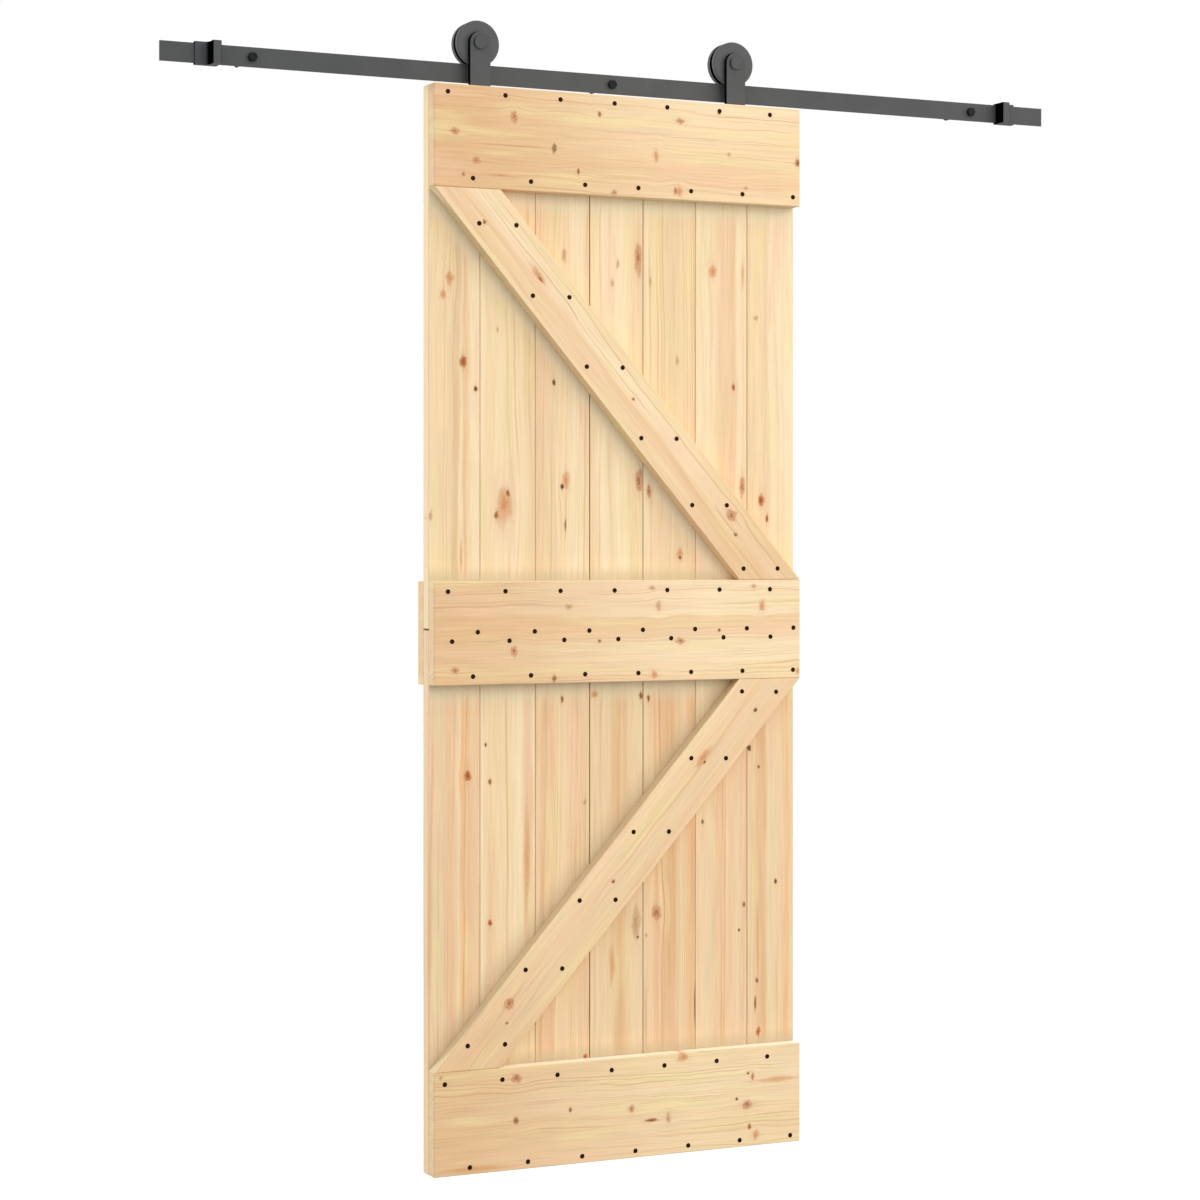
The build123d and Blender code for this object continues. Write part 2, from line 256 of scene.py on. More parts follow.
# Each board's knots: place on the door, length along the grain, width across it, tone
BOARD_KNOTS = {
    "upper_plank_1": ((44, 1729, 26, 18, "pink"), (30, 1697, 20, 14, "pink"), (72, 1568, 26, 15, "red"),
                      (98, 1516, 12, 9, "dark"), (4, 1269, 20, 8, "faint"), (67, 1187, 74, 6, "resin")),
    "upper_plank_2": ((144, 1632, 12, 5, "faint"), (157, 1292, 84, 36, "pink"), (166, 1314, 14, 9, "brown"),
                      (141, 1271, 16, 9, "brown")),
    "upper_plank_3": ((286, 1784, 30, 12, "faint"), (264, 1533, 14, 8, "dark"), (290, 1340, 38, 15, "pink"),
                      (282, 1328, 12, 8, "dark"), (289, 1251, 30, 4, "brown")),
    "upper_plank_4": ((403, 1771, 18, 8, "faint"), (391, 1733, 16, 8, "faint"), (448, 1785, 70, 16, "rosy"),
                      (450, 1341, 46, 17, "rosy")),
    "upper_plank_5": ((475, 1739, 26, 6, "faint"), (535, 1583, 18, 9, "faint"), (472, 1320, 30, 11, "rosy"),
                      (541, 1193, 28, 16, "pink"), (541, 1188, 8, 6, "dark")),
    "upper_plank_6": ((615, 1766, 30, 20, "pink"), (683, 1762, 60, 7, "resin"), (662, 1533, 16, 8, "red"),
                      (682, 1332, 42, 13, "rosy")),
    "upper_plank_7": ((714, 1674, 11, 11, "faint"), (726, 1304, 26, 15, "red"),
                      (739, 1267, 18, 7, "brown")),
    "lower_plank_1": ((81, 766, 22, 16, "red"),),
    "lower_plank_2": ((119, 825, 8, 5, "dark"), (128, 753, 13, 8, "brown"), (128, 479, 14, 9, "red"),
                      (206, 600, 220, 15, "resin")),
    "lower_plank_3": ((282, 909, 15, 7, "brown"), (331, 705, 14, 8, "faint"), (332, 203, 12, 9, "red")),
    "lower_plank_4": ((352, 918, 14, 16, "pink"), (390, 382, 86, 13, "resin"), (443, 462, 80, 22, "faint"),
                      (447, 432, 7, 5, "dark"), (454, 912, 16, 9, "brown")),
    "lower_plank_5": ((471, 907, 15, 7, "brown"), (488, 480, 32, 22, "rosy"), (466, 434, 11, 5, "faint"),
                      (575, 286, 110, 5, "brown")),
    "lower_plank_6": ((592, 656, 10, 7, "olive"), (686, 484, 11, 9, "brown"), (675, 433, 7, 5, "dark")),
    "lower_plank_7": ((698, 801, 13, 11, "dark"), (720, 762, 9, 7, "brown"), (759, 528, 11, 8, "dark"),
                      (718, 388, 200, 4, "resin"), (719, 224, 20, 10, "red"), (712, 282, 34, 6, "brown"),
                      (716, 328, 12, 8, "brown")),
    "top_rail": ((43, 2009, 19, 15, "rosy"), (167, 2044, 14, 26, "rosy"), (350, 2061, 8, 11, "brown"),
                 (253, 1988, 12, 20, "olive"), (88, 1955, 17, 16, "rosy"), (61, 1927, 9, 12, "rosy"),
                 (139, 1929, 60, 5, "pink"), (304, 1946, 6, 15, "brown"), (382, 1909, 12, 11, "rosy"),
                 (170, 1988, 150, 4, "faint"), (528, 2059, 18, 11, "rosy"), (474, 1986, 10, 28, "pink"),
                 (518, 1919, 9, 15, "red"), (526, 1919, 14, 20, "pink"), (615, 2080, 8, 7, "brown"),
                 (795, 1991, 12, 18, "brown"), (637, 1998, 10, 9, "faint"), (676, 1933, 10, 9, "faint")),
    "middle_rail": ((43, 972, 17, 13, "rosy"), (167, 1007, 14, 22, "rosy"), (253, 952, 11, 15, "brown"),
                    (350, 1024, 8, 7, "brown"), (283, 1092, 14, 13, "faint"), (465, 1128, 14, 10, "faint"),
                    (480, 1092, 12, 20, "faint"), (713, 1090, 14, 22, "pink"), (693, 1130, 12, 11, "faint"),
                    (528, 1022, 20, 13, "rosy"), (615, 1042, 8, 8, "brown"), (470, 956, 14, 17, "pink"),
                    (795, 957, 10, 14, "pink")),
    "bottom_rail": ((172, 178, 22, 20, "rosy"), (171, 96, 12, 17, "brown"), (287, 107, 7, 11, "brown"),
                    (14, 191, 9, 9, "faint"), (420, 97, 12, 17, "rosy"), (463, 71, 30, 8, "brown"),
                    (501, 72, 12, 24, "faint"), (534, 191, 24, 20, "pink"), (679, 84, 22, 20, "rosy"),
                    (655, 97, 6, 7, "dark"), (681, 147, 6, 7, "brown"), (691, 139, 8, 17, "rosy"),
                    (684, 39, 8, 11, "brown"), (698, 21, 15, 20, "pink"), (745, 130, 100, 12, "resin"),
                    (80, 10, 150, 12, "resin")),
    "back_middle_rail": ((150, 1010, 18, 15, "rosy"), (470, 1090, 14, 12, "brown"),
                         (640, 985, 20, 16, "pink")),
    "upper_brace": ((105, 1837, 9, 9, "brown"), (219, 1739, 46, 15, "pink"), (223, 1731, 14, 5, "brown"),
                    (424, 1502, 8, 7, "brown"), (643, 1273, 26, 24, "rosy"), (652, 1234, 10, 8, "brown")),
    "lower_brace": ((380, 549, 9, 8, "brown"), (157, 324, 24, 22, "rosy"), (152, 286, 7, 6, "brown"),
                    (698, 880, 11, 8, "dark"), (579, 788, 50, 16, "pink"), (582, 778, 8, 5, "dark")),
}


def linear(hex_colour):
    """An sRGB hex colour as linear red, green, blue and alpha."""
    parts = [int(hex_colour[i:i + 2], 16) / 255 for i in (1, 3, 5)]
    return [c / 12.92 if c <= 0.04045 else ((c + 0.055) / 1.055) ** 2.4 for c in parts] + [1.0]


def live_output(node):
    """The first output that a node's settings leave in use."""
    return next(output for output in node.outputs if output.enabled)


def add(tree, kind, *feeds, into=None, **settings):
    """Add a node with its settings. Feeds fill its sockets in order, and into fills them by name."""
    made = tree.nodes.new("ShaderNode" + kind if kind[:4] != "Node" else kind)
    for name, value in settings.items():
        setattr(made, name, value)
    by_identifier = {socket.identifier: socket for socket in made.inputs}
    for key, value in [*enumerate(feeds), *(into or {}).items()]:
        named = isinstance(key, str) and key in by_identifier
        socket = by_identifier[key] if named else made.inputs[key]
        if isinstance(value, bpy.types.Node):
            value = live_output(value)
        if isinstance(value, bpy.types.NodeSocket):
            tree.links.new(value, socket)
        else:
            socket.default_value = value
    return made


def new_group(name, inputs, outputs):
    """An empty node group with named sockets, and the outputs of its input node."""
    tree = bpy.data.node_groups.new(name, "ShaderNodeTree")
    for label, kind in inputs.items():
        tree.interface.new_socket(label, in_out="INPUT", socket_type="NodeSocket" + kind)
    for label, kind in outputs.items():
        tree.interface.new_socket(label, in_out="OUTPUT", socket_type="NodeSocket" + kind)
    return tree, add(tree, "NodeGroupInput").outputs


def new_material(name):
    """An empty material, its tree and the shader that its surface shows."""
    material = bpy.data.materials.new(name)
    material.use_nodes = True
    tree = material.node_tree
    tree.nodes.clear()
    shader = add(tree, "BsdfPrincipled")
    add(tree, "OutputMaterial", shader)
    return material, tree, shader


def growth_rings():
    """Growth rings of a pine log as the board cuts them. A board's own place has X along the grain,
    Y through the board and Z across it. Late is the dark, dense part of each year's ring."""
    floats = ("Bow", "Seed", "Ring width", "Heart side", "Heart depth", "Drift", "Wander")
    tree, given = new_group(
        "growth_rings",
        {"Place": "Vector", **{label: "Float" for label in floats}},
        {label: "Float" for label in ("Late", "Streak", "Patch", "Fibre", "Across")},
    )
    put = functools.partial(add, tree)

    def blotches(lengths, detail):
        """Soft noise whose blotches have these lengths along, through and across the board."""
        scaled = put("VectorMath", given["Place"], [1 / length for length in lengths], operation="MULTIPLY")
        return put(
            "TexNoise",
            into={"Vector": scaled, "W": given["Seed"], "Scale": 1.0, "Detail": detail},
            noise_dimensions="4D",
        )

    place = put("SeparateXYZ", given["Place"]).outputs
    slow_wave = put("Math", blotches(SLOW_WAVE, detail=1.5), 0.5, operation="SUBTRACT")
    small_wave = put("Math", blotches(SMALL_WAVE, detail=1.0), 0.5, operation="SUBTRACT")
    wave = put("Math", small_wave, SMALL_WAVE_SHARE, slow_wave, operation="MULTIPLY_ADD")
    bowed = put("Math", place["Z"], given["Bow"], operation="ADD")
    across = put("Math", wave, given["Wander"], bowed, operation="MULTIPLY_ADD")
    drifted = put("Math", place["X"], given["Drift"], across, operation="MULTIPLY_ADD")
    side = put("Math", drifted, given["Heart side"], operation="SUBTRACT")
    depth = put("Math", place["Y"], given["Heart depth"], operation="SUBTRACT")
    depth_squared = put("Math", depth, depth, operation="MULTIPLY")
    radius = put("Math", put("Math", side, side, depth_squared, operation="MULTIPLY_ADD"), operation="SQRT")
    even_count = put("Math", radius, given["Ring width"], operation="DIVIDE")
    year_place = put("Math", even_count, YEAR_TURNS, given["Seed"], operation="MULTIPLY_ADD")
    uneven = put("TexNoise", into={"W": year_place, "Scale": 1.0, "Detail": 1.0}, noise_dimensions="1D")
    count = put("Math", uneven, YEAR_SHIFT, even_count, operation="MULTIPLY_ADD")
    ring = put("Math", count, operation="FLOOR")
    share = put("Math", count, ring, operation="SUBTRACT")
    rise = put("MapRange", share, *LATE_RISE, interpolation_type="SMOOTHSTEP")
    fall = put("MapRange", share, *LATE_STOP, 1.0, 0.0, interpolation_type="SMOOTHSTEP")
    own_year = put("Math", ring, given["Seed"], operation="ADD")
    year = put("TexWhiteNoise", into={"W": own_year}, noise_dimensions="1D")
    weight = put("Math", year.outputs["Value"], DARK_YEARS, operation="POWER")
    stretches = blotches(CLEAR_STRETCH, detail=1.0)
    clear = put("MapRange", stretches, *LINE_FADE, interpolation_type="SMOOTHSTEP")
    line = put("Math", rise, fall, operation="MULTIPLY")
    late = put("Math", put("Math", line, weight, operation="MULTIPLY"), clear, operation="MULTIPLY")
    waved_place = put("CombineXYZ", place["X"], place["Y"], across)
    streak_place = put("VectorMath", waved_place, STREAK, operation="DIVIDE")
    streak = put(
        "TexNoise",
        into={"Vector": streak_place, "W": given["Seed"], "Scale": 1.0, "Detail": 3.0},
        noise_dimensions="4D",
    )
    patch = blotches(PATCH, detail=2.0)
    fibre = blotches(FIBRE, detail=3.0)
    put("NodeGroupOutput", late, streak, patch, fibre, across)
    return tree


def knot_shape():
    """Where a knot is. Reach is 0 at its heart and 1 at its ragged rim, Tail is the thin dark line that
    it leaves along the grain, and Bow bends the growth rings round it."""
    floats = ("Along", "Across", "Half length", "Half width")
    tree, given = new_group(
        "knot_shape",
        {"Place": "Vector", **{label: "Float" for label in floats}},
        {label: "Float" for label in ("Reach", "Tail", "Bow")},
    )
    put = functools.partial(add, tree)
    place = put("SeparateXYZ", given["Place"]).outputs
    along = put("Math", place["X"], given["Along"], operation="SUBTRACT")
    across = put("Math", place["Z"], given["Across"], operation="SUBTRACT")
    u = put("Math", along, given["Half length"], operation="DIVIDE")
    v = put("Math", across, given["Half width"], operation="DIVIDE")
    own_pattern = put("Math", given["Along"], KNOT_VARIETY, operation="MULTIPLY")
    ragged_place = put("CombineXYZ", u, v, own_pattern)
    ragged = put("TexNoise", into={"Vector": ragged_place, "Scale": RIM_WAVES, "Detail": 2.5})
    wobble = put("MapRange", ragged, *KNOT_RIM)
    flat_place = put("CombineXYZ", u, v)
    round_reach = put("VectorMath", flat_place, operation="LENGTH")
    reach = put("Math", round_reach.outputs["Value"], wobble, operation="MULTIPLY")

    def fading(reach):
        """1 at the knot's heart, fading out over this many of its half lengths and half widths."""
        scaled = put("VectorMath", flat_place, (*reach, 1.0), operation="DIVIDE")
        spread = put("VectorMath", scaled, scaled, operation="DOT_PRODUCT").outputs["Value"]
        return put("Math", put("Math", spread, -1.0, operation="MULTIPLY"), operation="EXPONENT")

    pull = put("Math", fading(BOW_REACH), BOW_PULL, operation="MULTIPLY")
    bow = put("Math", across, pull, operation="MULTIPLY")
    put("NodeGroupOutput", reach, fading(TAIL_REACH), bow)
    return tree


def knot_colour():
    """Paints a knot on the board: a soft halo, the knot's own wood, dark specks in it, its heart and
    its tail."""
    tree, given = new_group(
        "knot_colour",
        {"Board": "Color", "Reach": "Float", "Tail": "Float", "Speck": "Float", "Knot": "Color",
         "Dark": "Color", "Strength": "Float"},
        {"Board": "Color"},
    )
    put = functools.partial(add, tree)
    specks = put("MapRange", given["Speck"], *SPECK_TURN, interpolation_type="SMOOTHSTEP")
    board = given["Board"]
    # Each layer's colour, the reach where it is full and where it is gone, its cover and where it shows
    for colour, start, end, cover, share in (
        (linear(KNOT_HALO), 0.9, 2.2, 0.4, 1.0),
        (given["Dark"], 1.0, 9.0, 0.22, given["Tail"]),
        (given["Dark"], 0.8, 1.15, 0.4, 1.0),
        (given["Knot"], 0.55, 0.95, 1.0, 1.0),
        (given["Dark"], 0.5, 1.0, 0.7, specks),
        (given["Dark"], 0.1, 0.48, 0.8, 1.0),
    ):
        fade = put("MapRange", given["Reach"], start, end, cover, 0.0, interpolation_type="SMOOTHSTEP")
        shaped = put("Math", fade, share, operation="MULTIPLY")
        amount = put("Math", shaped, given["Strength"], operation="MULTIPLY")
        board = put(
            "Mix", into={"Factor_Float": amount, "A_Color": board, "B_Color": colour}, data_type="RGBA"
        )
    put("NodeGroupOutput", board)
    return tree


RINGS = growth_rings()
KNOT_SHAPE = knot_shape()
KNOT_COLOUR = knot_colour()


def surface(tree, shader, colour, roughness, bump):
    """Feed a shader its colour, roughness and bump."""
    for socket, source in (("Base Color", colour), ("Roughness", roughness), ("Normal", bump)):
        tree.links.new(live_output(source), shader.inputs[socket])


def board_knots(put, node, lean, centre, place):
    """The shapes and tones of a board's knots, and how they bow its growth rings together."""
    along_grain = Vector((math.cos(lean), 0, math.sin(lean)))
    across_grain = Vector((-math.sin(lean), 0, math.cos(lean)))
    bow = 0.0
    knots = []
    for x, z, length, breadth, tone in BOARD_KNOTS[node]:
        spot = Vector((DOOR_LEFT + x * MM, centre.y, DOOR_BOTTOM + z * MM)) - centre
        shape = put(
            "Group",
            into={
                "Place": place,
                "Along": spot.dot(along_grain),
                "Across": spot.dot(across_grain),
                "Half length": length * MM / 2,
                "Half width": breadth * MM / 2,
            },
            node_tree=KNOT_SHAPE,
        )
        bow = put("Math", shape.outputs["Bow"], bow, operation="ADD")
        knots.append((shape.outputs, *KNOT_TONES[tone]))
    return bow, knots


def tone_strips(put, across, width, bands):
    """A board's strips of tone, side by side across it."""
    share = put("MapRange", across, -width / 2, width / 2)
    ramp = put("ValToRGB", share)
    strips = ramp.color_ramp
    strips.interpolation = "EASE"
    while len(strips.elements) < len(bands):
        strips.elements.new(1.0)
    for stop, (position, tone) in zip(strips.elements, bands):
        stop.position = position
        stop.color = linear(TONES[tone])
    return ramp.outputs["Color"]


def pine_board(node, lean, width, bands, seed, cut, line_depth, joints=(), painted_shading=(), ruddy=None, slope=None):
    """Planed, unfinished knotty pine. Pale sapwood and pinker heartwood lie in soft strips, fine dark
    latewood lines run along the board and bow round the knots, and the planed face is almost matt. Light
    is painted on the board's sides and a highlight on its upper edge, painted light and shade lie on the
    planks beside the battens, and painted shade lies on a brace's sloping upper side."""
    ring_width, heart_side, heart_depth, drift, wander = cut
    low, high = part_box(node)
    centre = (low + high) / 2
    material, tree, shader = new_material("planed_pine_" + node)
    put = functools.partial(add, tree)
    coordinates = put("TexCoord").outputs
    object_place = coordinates["Object"]
    place = put(
        "Mapping",
        object_place,
        into={"Location": centre, "Rotation": (0, -lean, 0)},
        vector_type="TEXTURE",
    )
    bow, knots = board_knots(put, node, lean, centre, place)
    rings = put(
        "Group",
        into={
            "Place": place,
            "Bow": bow,
            "Seed": seed,
            "Ring width": ring_width * MM,
            "Heart side": heart_side * MM,
            "Heart depth": heart_depth * MM,
            "Drift": drift,
            "Wander": wander * MM,
        },
        node_tree=RINGS,
    ).outputs
    board = tone_strips(put, rings["Across"], width, bands)
    warm = put("MapRange", rings["Streak"], *WARM_STREAKS, interpolation_type="SMOOTHSTEP")
    pale = put("MapRange", rings["Streak"], *PALE_STREAKS, interpolation_type="SMOOTHSTEP")
    yellowed = put("MapRange", rings["Patch"], *YELLOWED_PATCHES, interpolation_type="SMOOTHSTEP")
    flushed = put("MapRange", rings["Patch"], *FLUSHED_PATCHES, interpolation_type="SMOOTHSTEP")
    layers = [(warm, TONES["rose"]), (pale, TONES["cream"])]
    if ruddy:
        strength, full, gone = ruddy
        grain_place = put("SeparateXYZ", place).outputs["X"]
        reach = put("MapRange", grain_place, full, gone, strength, 0.0, interpolation_type="SMOOTHSTEP")
        layers.append((reach, TONES["amber"]))
    layers += [(yellowed, YELLOWED), (flushed, FLUSHED)]
    # Painted light on the board's sides and a painted highlight on its upper edge
    facing = put("SeparateXYZ", coordinates["Normal"]).outputs
    sideways = put("Math", facing["X"], operation="ABSOLUTE")
    layers.append((put("MapRange", sideways, *PAINTED_SHADING_TURN, 0.0, SIDE_PAINTED_LIGHT), TONES["cream"]))
    layers.append((put("MapRange", facing["Z"], *PAINTED_SHADING_TURN, 0.0, TOP_HIGHLIGHT_COVER), TOP_PAINTED_HIGHLIGHT))
    layers.append((put("Math", rings["Late"], line_depth, operation="MULTIPLY"), LATEWOOD))
    # Painted shade on a brace's sloping upper side
    if slope:
        colour, cover = SLOPE_PAINTED_SHADE
        level = put("VectorMath", coordinates["Normal"], slope, operation="DOT_PRODUCT").outputs["Value"]
        layers.append((put("MapRange", level, *PAINTED_SHADING_TURN, 0.0, cover), colour))
    # Painted light and shade beside the battens, on the planks' front faces only
    on_front = put("MapRange", facing["Y"], *FRONT_TURN, 1.0, 0.0)
    for direction, edge, (colour, cover, reach) in painted_shading:
        height = put("VectorMath", object_place, direction, operation="DOT_PRODUCT").outputs["Value"]
        distance = put("Math", put("Math", height, edge, operation="SUBTRACT"), operation="ABSOLUTE")
        amount = put("MapRange", distance, 0.0, reach, cover, 0.0, interpolation_type="SMOOTHSTEP")
        layers.append((put("Math", amount, on_front, operation="MULTIPLY"), colour))
    for edge, strength in joints:
        gap = put("Math", put("SeparateXYZ", object_place).outputs["X"], edge, operation="SUBTRACT")
        distance = put("Math", gap, operation="ABSOLUTE")
        layers.append((put("MapRange", distance, *JOINT_FADE, strength, 0.0), JOINT_DIRT))
    for amount, colour in layers:
        board = put(
            "Mix",
            into={"Factor_Float": amount, "A_Color": board, "B_Color": linear(colour)},
            data_type="RGBA",
        )
    fibre_shade = put("MapRange", rings["Fibre"], *FIBRE_SHADE)
    board = put("VectorMath", board, into={"Scale": fibre_shade}, operation="SCALE")
    speck = put("TexNoise", into={"Vector": place, "Scale": 1 / KNOT_SPECK, "Detail": 2.0})
    for shape, colour, dark, strength in knots:
        board = put(
            "Group",
            into={
                "Board": board,
                "Reach": shape["Reach"],
                "Tail": shape["Tail"],
                "Speck": speck,
                "Knot": linear(colour),
                "Dark": linear(dark),
                "Strength": strength,
            },
            node_tree=KNOT_COLOUR,
        )
    relief = put("Math", rings["Fibre"], FIBRE_RELIEF, rings["Late"], operation="MULTIPLY_ADD")
    bump = put("Bump", into={"Strength": GRAIN_BUMP, "Distance": GRAIN_DEPTH, "Height": relief})
    roughness = put("MapRange", rings["Late"], 0.0, 1.0, *PLANED_ROUGHNESS)
    surface(tree, shader, board, roughness, bump)
    shader.inputs["Specular IOR Level"].default_value = PLANED_SHINE
    return material


def powder_coat(name, dark, light, side_turn=None, arris=None, groove=None):
    """Dark grey powder coat, baked on steel: satin, with a fine orange-peel texture. Shade is painted on
    it, black, matt and without reflection, where a piece's surface turns to the side, along a strap's
    left arris and in a wheel's groove."""
    material, tree, shader = new_material(name)
    put = functools.partial(add, tree)
    coordinates = put("TexCoord").outputs
    place = coordinates["Object"]
    cloud = put("TexNoise", into={"Vector": place, "Scale": 1 / COAT_CLOUD, "Detail": 3.0})
    peel = put("TexNoise", into={"Vector": place, "Scale": 1 / ORANGE_PEEL, "Detail": 1.5})
    colour = put(
        "Mix",
        into={
            "Factor_Float": put("MapRange", cloud, *MID_NOISE),
            "A_Color": linear(dark),
            "B_Color": linear(light),
        },
        data_type="RGBA",
    )
    # Painted shade: black, matt and without reflection, where the surface turns to the side, along a
    # strap's left arris and in a wheel's groove
    black = []
    if side_turn:
        sideways = put("Math", put("SeparateXYZ", coordinates["Normal"]).outputs["X"], operation="ABSOLUTE")
        black.append(put("MapRange", sideways, *side_turn))
    if arris:
        round_centre, half_width, reach = arris
        to_centre = put("SeparateXYZ", put("VectorMath", round_centre, place, operation="SUBTRACT")).outputs
        above = put("Math", to_centre["Z"], 0.0, operation="MINIMUM")
        outward = put("VectorMath", put("CombineXYZ", to_centre["X"], above), operation="LENGTH")
        from_edge = put("Math", half_width, outward.outputs["Value"], operation="SUBTRACT")
        line_width = put("Math", to_centre["X"], reach / half_width, operation="MULTIPLY")
        black.append(put("Math", from_edge, line_width, operation="LESS_THAN"))
    if groove:
        middle, half_width, rim_radius = groove
        from_middle = put("VectorMath", place, middle, operation="SUBTRACT")
        spoke = put("VectorMath", from_middle, [1.0, 0.0, 1.0], operation="MULTIPLY")
        radius = put("VectorMath", spoke, operation="LENGTH").outputs["Value"]
        inside_rim = put("Math", radius, rim_radius, operation="LESS_THAN")
        offset = put("Math", put("SeparateXYZ", from_middle).outputs["Y"], operation="ABSOLUTE")
        in_groove = put("Math", offset, half_width, operation="LESS_THAN")
        black.append(put("Math", inside_rim, in_groove, operation="MULTIPLY"))
    shine = COAT_SHINE
    # Each painted shade mixes in black and takes away the coat's reflection
    for amount in black:
        colour = put(
            "Mix",
            into={"Factor_Float": amount, "A_Color": colour, "B_Color": linear(PAINTED_SHADE_BLACK)},
            data_type="RGBA",
        )
        shine = put("MapRange", amount, 0.0, 1.0, shine, 0.0)
    bump = put("Bump", into={"Strength": PEEL_BUMP, "Distance": PEEL_DEPTH, "Height": peel})
    roughness = put("MapRange", cloud, *MID_NOISE, *COAT_ROUGHNESS)
    surface(tree, shader, colour, roughness, bump)
    if black:
        tree.links.new(live_output(shine), shader.inputs["Specular IOR Level"])
    else:
        shader.inputs["Specular IOR Level"].default_value = shine
    return material


def black_oxide(name, dark, light):
    """Black oxide on steel: a thin dark skin that still shines like metal, uneven where it was oiled."""
    material, tree, shader = new_material(name)
    put = functools.partial(add, tree)
    place = put("TexCoord").outputs["Object"]
    cloud = put("TexNoise", into={"Vector": place, "Scale": 1 / OXIDE_CLOUD, "Detail": 3.0})
    shade = put("ValToRGB", cloud)
    for stop, position, colour in zip(shade.color_ramp.elements, MID_NOISE, (dark, light)):
        stop.position = position
        stop.color = linear(colour)
    roughness = put("MapRange", cloud, *MID_NOISE, *OXIDE_ROUGHNESS)
    bump = put("Bump", into={"Strength": OXIDE_BUMP, "Distance": OXIDE_DEPTH, "Height": cloud})
    surface(tree, shader, shade, roughness, bump)
    shader.inputs["Metallic"].default_value = 1.0
    return material


def dress(node, material):
    """Give a CAD node its finish."""
    slots = nodes[node].data.materials
    slots.clear()
    slots.append(material)


def add_piece(name, mesh, material, body):
    """A finished mesh becomes a named piece that rides on a body."""
    data = bpy.data.meshes.new(name)
    mesh.to_mesh(data)
    mesh.free()
    data.materials.append(material)
    piece = bpy.data.objects.new(name, data)
    bpy.context.scene.collection.objects.link(piece)
    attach(piece, body)


def nail_heads(name, places, material):
    """Low domed nail heads on a batten's face, at places in millimetres on the door."""
    mesh = bmesh.new()
    lying = Matrix.Rotation(math.radians(90), 4, "X")
    middle = BATTEN_FACE + (NAIL_SUNK - NAIL_PROUD) / 2
    for x, z in places:
        spot = Matrix.Translation((DOOR_LEFT + x * MM, middle, DOOR_BOTTOM + z * MM))
        bmesh.ops.create_cone(
            mesh,
            cap_ends=True,
            segments=NAIL_SIDES,
            radius1=NAIL_RADIUS,
            radius2=NAIL_CROWN,
            depth=NAIL_PROUD + NAIL_SUNK,
            matrix=spot @ lying,
        )
    below_crown = BATTEN_FACE - NAIL_PROUD / 2
    rims = [edge for edge in mesh.edges if all(vert.co.y < below_crown for vert in edge.verts)]
    bmesh.ops.bevel(mesh, geom=rims, offset=NAIL_EDGE, segments=2, profile=0.5, affect="EDGES", material=-1)
    add_piece(name, mesh, material, "door")


def strap_screws(side, material):
    """Two flanged hexagon screws in a hanger strap's holes."""
    mesh = bmesh.new()
    facing_wall = Matrix.Rotation(math.radians(-90), 4, "X")
    low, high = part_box(f"{side}_hanger_strap")
    for drop in SCREW_DROPS:
        spot = Matrix.Translation(((low.x + high.x) / 2, STRAP_BACK, DOOR_TOP - drop))
        for sides, radius, start, end in (
            (FLANGE_SIDES, SCREW_FLANGE_RADIUS, 0.0, SCREW_FLANGE),
            (HEXAGON, SCREW_HEAD_RADIUS, SCREW_FLANGE, SCREW_FLANGE + SCREW_HEAD),
        ):
            shift = Matrix.Translation((0, 0, (start + end) / 2))
            made = bmesh.ops.create_cone(
                mesh,
                cap_ends=True,
                segments=sides,
                radius1=radius,
                radius2=radius,
                depth=end - start,
                matrix=spot @ facing_wall @ shift,
            )
            outer = max(vert.co.y for vert in made["verts"])
            rims = {edge for vert in made["verts"] for edge in vert.link_edges
                    if all(v.co.y > outer - SCREW_EDGE for v in edge.verts)}
            bmesh.ops.bevel(
                mesh,
                geom=list(rims),
                offset=SCREW_EDGE,
                segments=2,
                profile=0.5,
                affect="EDGES",
                material=-1,
            )
    add_piece(f"{side}_strap_screws", mesh, material, "door")


# Braces: the length of their level end cuts, and whether they rise or fall to the right
BRACE_CUT_LENGTH = 139.0 * MM
BRACE_SLOPES = {"upper_brace": -1, "lower_brace": 1}


def brace_lie(node):
    """The middle of a brace, the lean of its grain and its width."""
    low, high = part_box(node)
    lean = BRACE_SLOPES[node] * math.atan2(high.z - low.z, high.x - low.x - BRACE_CUT_LENGTH)
    return (low + high) / 2, lean, BRACE_CUT_LENGTH * abs(math.sin(lean))


def brace_left(node):
    """The direction that a brace's left side faces."""
    lean = brace_lie(node)[1]
    return Vector((-abs(math.sin(lean)), 0.0, BRACE_SLOPES[node] * math.cos(lean)))


def painted_shading_edges(rail_above, rail_below, brace):
    """Where light and shade are painted on a row of planks: along the rails above and below it and beside
    its brace.
    """
    middle, _, width = brace_lie(brace)
    upward = Vector((0.0, 0.0, 1.0))
    leftward = brace_left(brace)
    return (
        (upward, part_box(rail_above)[0].z, BELOW_RAIL_PAINTED_LIGHT),
        (upward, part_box(rail_below)[1].z, ABOVE_RAIL_PAINTED_SHADE),
        (leftward, leftward.dot(middle) + width / 2, BRACE_PAINTED_LIGHT_AND_SHADE[brace]),
        (leftward, leftward.dot(middle) - width / 2, RIGHT_OF_BRACE_PAINTED_SHADE),
    )


